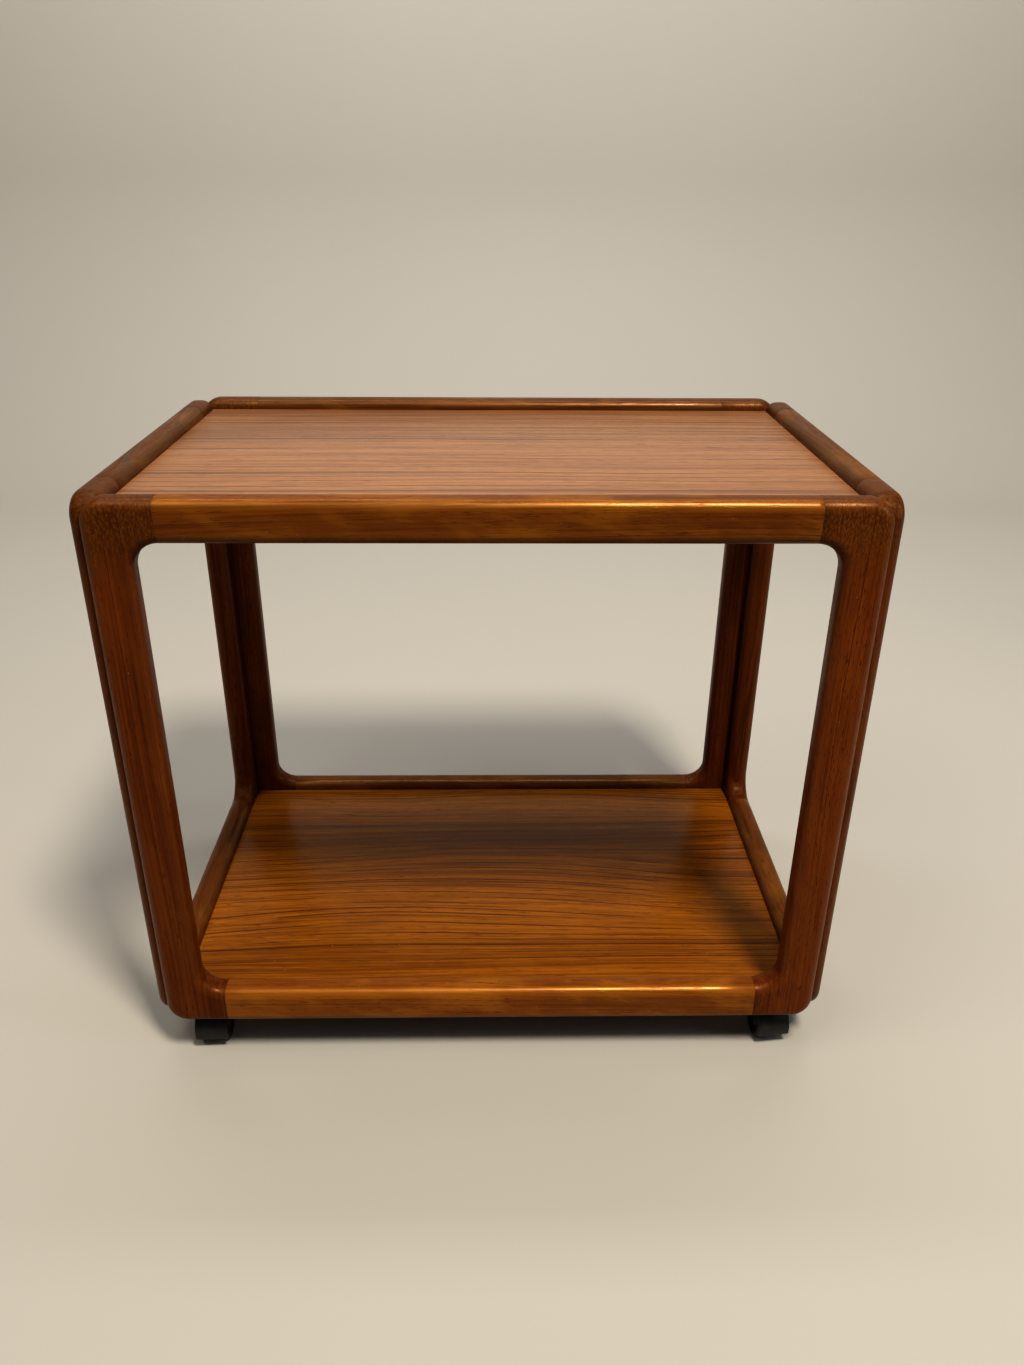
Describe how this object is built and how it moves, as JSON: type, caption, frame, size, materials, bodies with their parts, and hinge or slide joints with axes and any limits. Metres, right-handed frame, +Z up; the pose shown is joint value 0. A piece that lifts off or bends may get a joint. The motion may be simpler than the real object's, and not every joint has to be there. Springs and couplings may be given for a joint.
{
  "type": "trolley table",
  "caption": "Two-tier wooden trolley table with four rounded hoop frames, an inset tray and shelf, and twin-wheel castors.",
  "frame": {"origin": "on the floor under the middle of the table", "axes": "+X to the right seen from the front, +Y from front to back, +Z up"},
  "size_m": [0.75, 0.467, 0.652],
  "materials": {
    "teak_stile": "oiled teak, satin, vertical grain",
    "teak_rail": "oiled teak, satin, grain along the rail",
    "teak_tray": "lacquered teak veneer",
    "teak_shelf": "lacquered teak veneer",
    "beech": "unfinished",
    "zinc_steel": "zinc plated",
    "nylon": "moulded nylon",
    "black_plastic": "moulded",
    "black_tread": "moulded, worn on the tread"
  },
  "bodies": {
    "table": {"front_frame_left_stile": "teak_stile", "front_frame_right_stile": "teak_stile", "back_frame_left_stile": "teak_stile", "back_frame_right_stile": "teak_stile", "left_frame_front_stile": "teak_stile", "left_frame_back_stile": "teak_stile", "right_frame_front_stile": "teak_stile", "right_frame_back_stile": "teak_stile", "front_frame_top_rail": "teak_rail", "front_frame_bottom_rail": "teak_rail", "back_frame_top_rail": "teak_rail", "back_frame_bottom_rail": "teak_rail", "left_frame_top_rail": "teak_rail", "left_frame_bottom_rail": "teak_rail", "right_frame_top_rail": "teak_rail", "right_frame_bottom_rail": "teak_rail", "tray_panel": "teak_tray", "shelf_panel": "teak_shelf", "rail_dowels": "beech", "corner_dowels": "beech", "front_left_block": "beech", "front_right_block": "beech", "back_left_block": "beech", "back_right_block": "beech", "front_left_castor_plate": "zinc_steel", "front_left_castor_kingpin": "zinc_steel", "front_right_castor_plate": "zinc_steel", "front_right_castor_kingpin": "zinc_steel", "back_left_castor_plate": "zinc_steel", "back_left_castor_kingpin": "zinc_steel", "back_right_castor_plate": "zinc_steel", "back_right_castor_kingpin": "zinc_steel", "castor_screws": "zinc_steel"},
    "front_left_swivel": {"front_left_castor_housing": "black_plastic", "front_left_castor_bush": "nylon", "front_left_castor_axle": "zinc_steel"},
    "front_left_left_wheel": {"front_left_castor_left_wheel": "black_tread"},
    "front_left_right_wheel": {"front_left_castor_right_wheel": "black_tread"},
    "front_right_swivel": {"front_right_castor_housing": "black_plastic", "front_right_castor_bush": "nylon", "front_right_castor_axle": "zinc_steel"},
    "front_right_left_wheel": {"front_right_castor_left_wheel": "black_tread"},
    "front_right_right_wheel": {"front_right_castor_right_wheel": "black_tread"},
    "back_left_swivel": {"back_left_castor_housing": "black_plastic", "back_left_castor_bush": "nylon", "back_left_castor_axle": "zinc_steel"},
    "back_left_left_wheel": {"back_left_castor_left_wheel": "black_tread"},
    "back_left_right_wheel": {"back_left_castor_right_wheel": "black_tread"},
    "back_right_swivel": {"back_right_castor_housing": "black_plastic", "back_right_castor_bush": "nylon", "back_right_castor_axle": "zinc_steel"},
    "back_right_left_wheel": {"back_right_castor_left_wheel": "black_tread"},
    "back_right_right_wheel": {"back_right_castor_right_wheel": "black_tread"}
  },
  "joints": [
    {"name": "front_left_swivel", "type": "hinge", "parent": "table", "child": "front_left_swivel", "pos_m": [-0.3215, -0.1815, 0.045], "axis": [0, 0, 1], "continuous": true},
    {"name": "front_left_left_roll", "type": "hinge", "parent": "front_left_swivel", "child": "front_left_left_wheel", "pos_m": [-0.32089, -0.19899, 0.02], "axis": [0.9994, 0.0349, 0], "continuous": true},
    {"name": "front_left_right_roll", "type": "hinge", "parent": "front_left_swivel", "child": "front_left_right_wheel", "pos_m": [-0.32089, -0.19899, 0.02], "axis": [0.9994, 0.0349, 0], "continuous": true},
    {"name": "front_right_swivel", "type": "hinge", "parent": "table", "child": "front_right_swivel", "pos_m": [0.3215, -0.1815, 0.045], "axis": [0, 0, 1], "continuous": true},
    {"name": "front_right_left_roll", "type": "hinge", "parent": "front_right_swivel", "child": "front_right_left_wheel", "pos_m": [0.32363, -0.19887, 0.02], "axis": [0.9925, 0.1219, 0], "continuous": true},
    {"name": "front_right_right_roll", "type": "hinge", "parent": "front_right_swivel", "child": "front_right_right_wheel", "pos_m": [0.32363, -0.19887, 0.02], "axis": [0.9925, 0.1219, 0], "continuous": true},
    {"name": "back_left_swivel", "type": "hinge", "parent": "table", "child": "back_left_swivel", "pos_m": [-0.3215, 0.1815, 0.045], "axis": [0, 0, 1], "continuous": true},
    {"name": "back_left_left_roll", "type": "hinge", "parent": "back_left_swivel", "child": "back_left_left_wheel", "pos_m": [-0.32028, 0.16404, 0.02], "axis": [0.9976, 0.0698, 0], "continuous": true},
    {"name": "back_left_right_roll", "type": "hinge", "parent": "back_left_swivel", "child": "back_left_right_wheel", "pos_m": [-0.32028, 0.16404, 0.02], "axis": [0.9976, 0.0698, 0], "continuous": true},
    {"name": "back_right_swivel", "type": "hinge", "parent": "table", "child": "back_right_swivel", "pos_m": [0.3215, 0.1815, 0.045], "axis": [0, 0, 1], "continuous": true},
    {"name": "back_right_left_roll", "type": "hinge", "parent": "back_right_swivel", "child": "back_right_left_wheel", "pos_m": [0.32424, 0.16422, 0.02], "axis": [0.9877, 0.1564, 0], "continuous": true},
    {"name": "back_right_right_roll", "type": "hinge", "parent": "back_right_swivel", "child": "back_right_right_wheel", "pos_m": [0.32424, 0.16422, 0.02], "axis": [0.9877, 0.1564, 0], "continuous": true}
  ]
}
